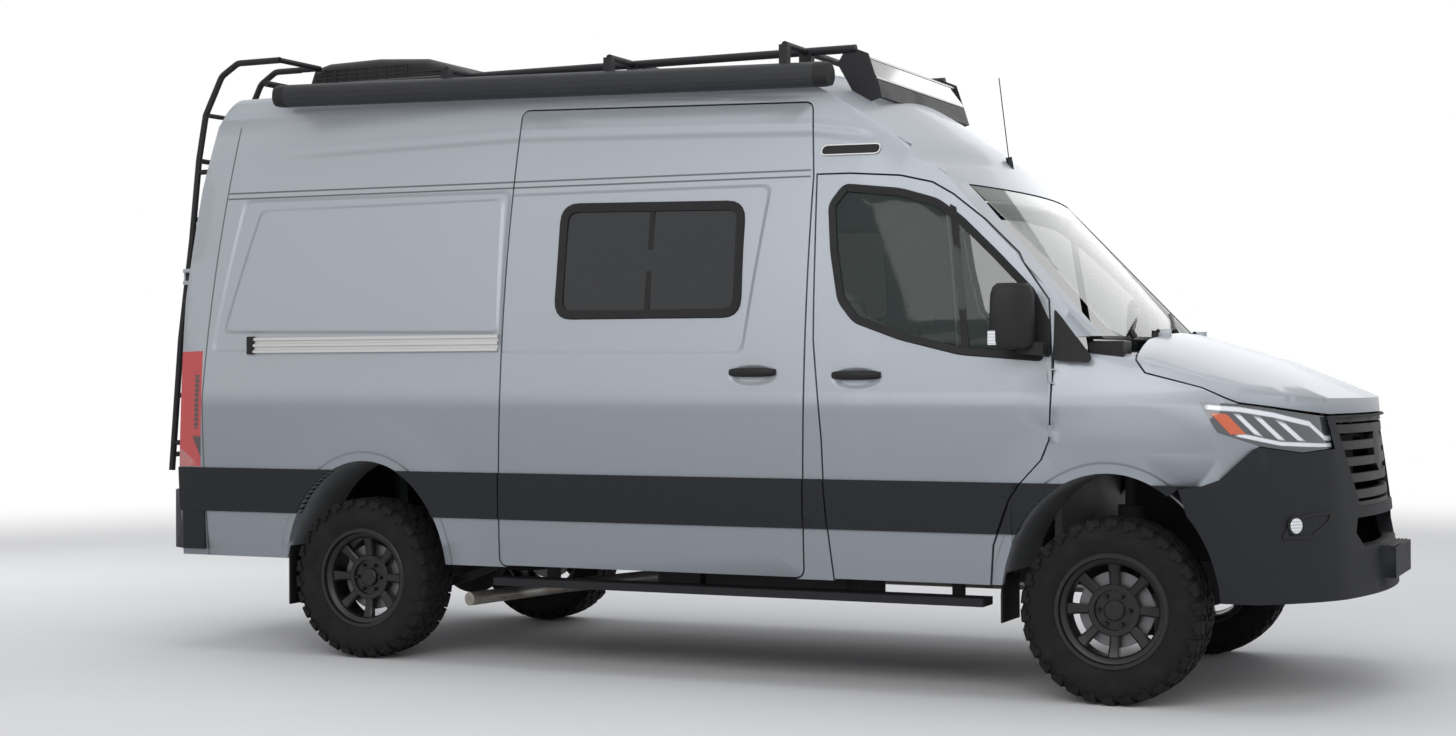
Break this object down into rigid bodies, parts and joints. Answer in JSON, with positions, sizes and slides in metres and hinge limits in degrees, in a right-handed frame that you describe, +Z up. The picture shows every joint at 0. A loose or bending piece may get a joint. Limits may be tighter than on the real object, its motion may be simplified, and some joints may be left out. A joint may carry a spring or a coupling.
{
  "type": "camper van",
  "caption": "High-roof camper van with hinged cab and back doors, steered front wheels, roof kit and ladder.",
  "frame": {"origin": "on the ground under the middle of the vehicle's box", "axes": "+X forward, +Y to the driver's left, +Z up"},
  "size_m": [5.99, 2.344, 2.9919],
  "materials": {
    "silver_paint": "metallic gloss",
    "tinted_glass": "dark tint",
    "dark_plastic": "grained",
    "black_coat": "satin powder coat",
    "underbody_steel": "black paint",
    "exhaust_steel": "dull",
    "cast_engine": "cast",
    "tank_plastic": "moulded",
    "lamp_clear": "clear",
    "lamp_red": "gloss",
    "seat_fabric": "woven",
    "solar_glass": "gloss",
    "tyre": "matt rubber",
    "black_wheel": "satin"
  },
  "bodies": {
    "body": {"air_conditioner": "dark_plastic", "awning": "black_coat", "bumper_front": "dark_plastic", "bumper_rear": "dark_plastic", "cowl": "dark_plastic", "dashboard": "dark_plastic", "engine_block": "cast_engine", "exhaust": "exhaust_steel", "floor": "underbody_steel", "frame": "underbody_steel", "front_axle": "underbody_steel", "fuel_tank": "tank_plastic", "grille": "dark_plastic", "head_lamps": "lamp_clear", "hitch_receiver": "underbody_steel", "mud_flaps": "dark_plastic", "rear_axle": "underbody_steel", "roof": "silver_paint", "roof_rack": "black_coat", "running_boards": "black_coat", "seats": "seat_fabric", "side_left": "silver_paint", "side_right": "silver_paint", "side_windows": "tinted_glass", "sliding_door": "silver_paint", "solar_panel": "solar_glass", "tail_lamps": "lamp_red", "windscreen": "tinted_glass", "wings": "silver_paint"},
    "front_door_right": {"front_door_right": "silver_paint", "front_glass_right": "tinted_glass", "mirror_right": "dark_plastic"},
    "front_door_left": {"front_door_left": "silver_paint", "front_glass_left": "tinted_glass", "mirror_left": "dark_plastic"},
    "back_door_right": {"back_door_right": "silver_paint", "back_glass_right": "tinted_glass", "ladder": "black_coat"},
    "back_door_left": {"back_door_left": "silver_paint", "back_glass_left": "tinted_glass"},
    "bonnet": {"bonnet": "silver_paint"},
    "knuckle_right": {"knuckle_right": "underbody_steel"},
    "knuckle_left": {"knuckle_left": "underbody_steel"},
    "wheel_front_right": {"rim_front_right": "black_wheel", "tyre_front_right": "tyre"},
    "wheel_front_left": {"rim_front_left": "black_wheel", "tyre_front_left": "tyre"},
    "wheel_rear_right": {"rim_rear_right": "black_wheel", "tyre_rear_right": "tyre"},
    "wheel_rear_left": {"rim_rear_left": "black_wheel", "tyre_rear_left": "tyre"}
  },
  "joints": [
    {"name": "front_door_right_hinge", "type": "hinge", "parent": "body", "child": "front_door_right", "pos_m": [1.736, -1.003, 1.23], "axis": [0, 0, 1], "range_deg": [0, 70]},
    {"name": "front_door_left_hinge", "type": "hinge", "parent": "body", "child": "front_door_left", "pos_m": [1.736, 1.003, 1.23], "axis": [0, 0, -1], "range_deg": [0, 70]},
    {"name": "back_door_right_hinge", "type": "hinge", "parent": "body", "child": "back_door_right", "pos_m": [-2.813, -0.88, 1.2], "axis": [0, 0, 1], "range_deg": [0, 110]},
    {"name": "back_door_left_hinge", "type": "hinge", "parent": "body", "child": "back_door_left", "pos_m": [-2.813, 0.88, 1.2], "axis": [0, 0, -1], "range_deg": [0, 110]},
    {"name": "bonnet_hinge", "type": "hinge", "parent": "body", "child": "bonnet", "pos_m": [2.027, 0, 1.54], "axis": [0, -1, 0], "range_deg": [0, 50]},
    {"name": "steer_right", "type": "hinge", "parent": "body", "child": "knuckle_right", "pos_m": [1.97, -0.762, 0.384], "axis": [0, 0, 1], "range_deg": [-34, 34]},
    {"name": "steer_left", "type": "hinge", "parent": "body", "child": "knuckle_left", "pos_m": [1.97, 0.762, 0.384], "axis": [0, 0, 1], "range_deg": [-34, 34]},
    {"name": "spin_front_right", "type": "hinge", "parent": "knuckle_right", "child": "wheel_front_right", "pos_m": [1.97, -0.856, 0.384], "axis": [0, 1, 0], "continuous": true},
    {"name": "spin_front_left", "type": "hinge", "parent": "knuckle_left", "child": "wheel_front_left", "pos_m": [1.97, 0.856, 0.384], "axis": [0, 1, 0], "continuous": true},
    {"name": "spin_rear_right", "type": "hinge", "parent": "body", "child": "wheel_rear_right", "pos_m": [-1.695, -0.856, 0.384], "axis": [0, 1, 0], "continuous": true},
    {"name": "spin_rear_left", "type": "hinge", "parent": "body", "child": "wheel_rear_left", "pos_m": [-1.695, 0.856, 0.384], "axis": [0, 1, 0], "continuous": true}
  ],
  "couplings": [
    {"joint": "steer_left", "follows": "steer_right", "ratio": 1}
  ]
}
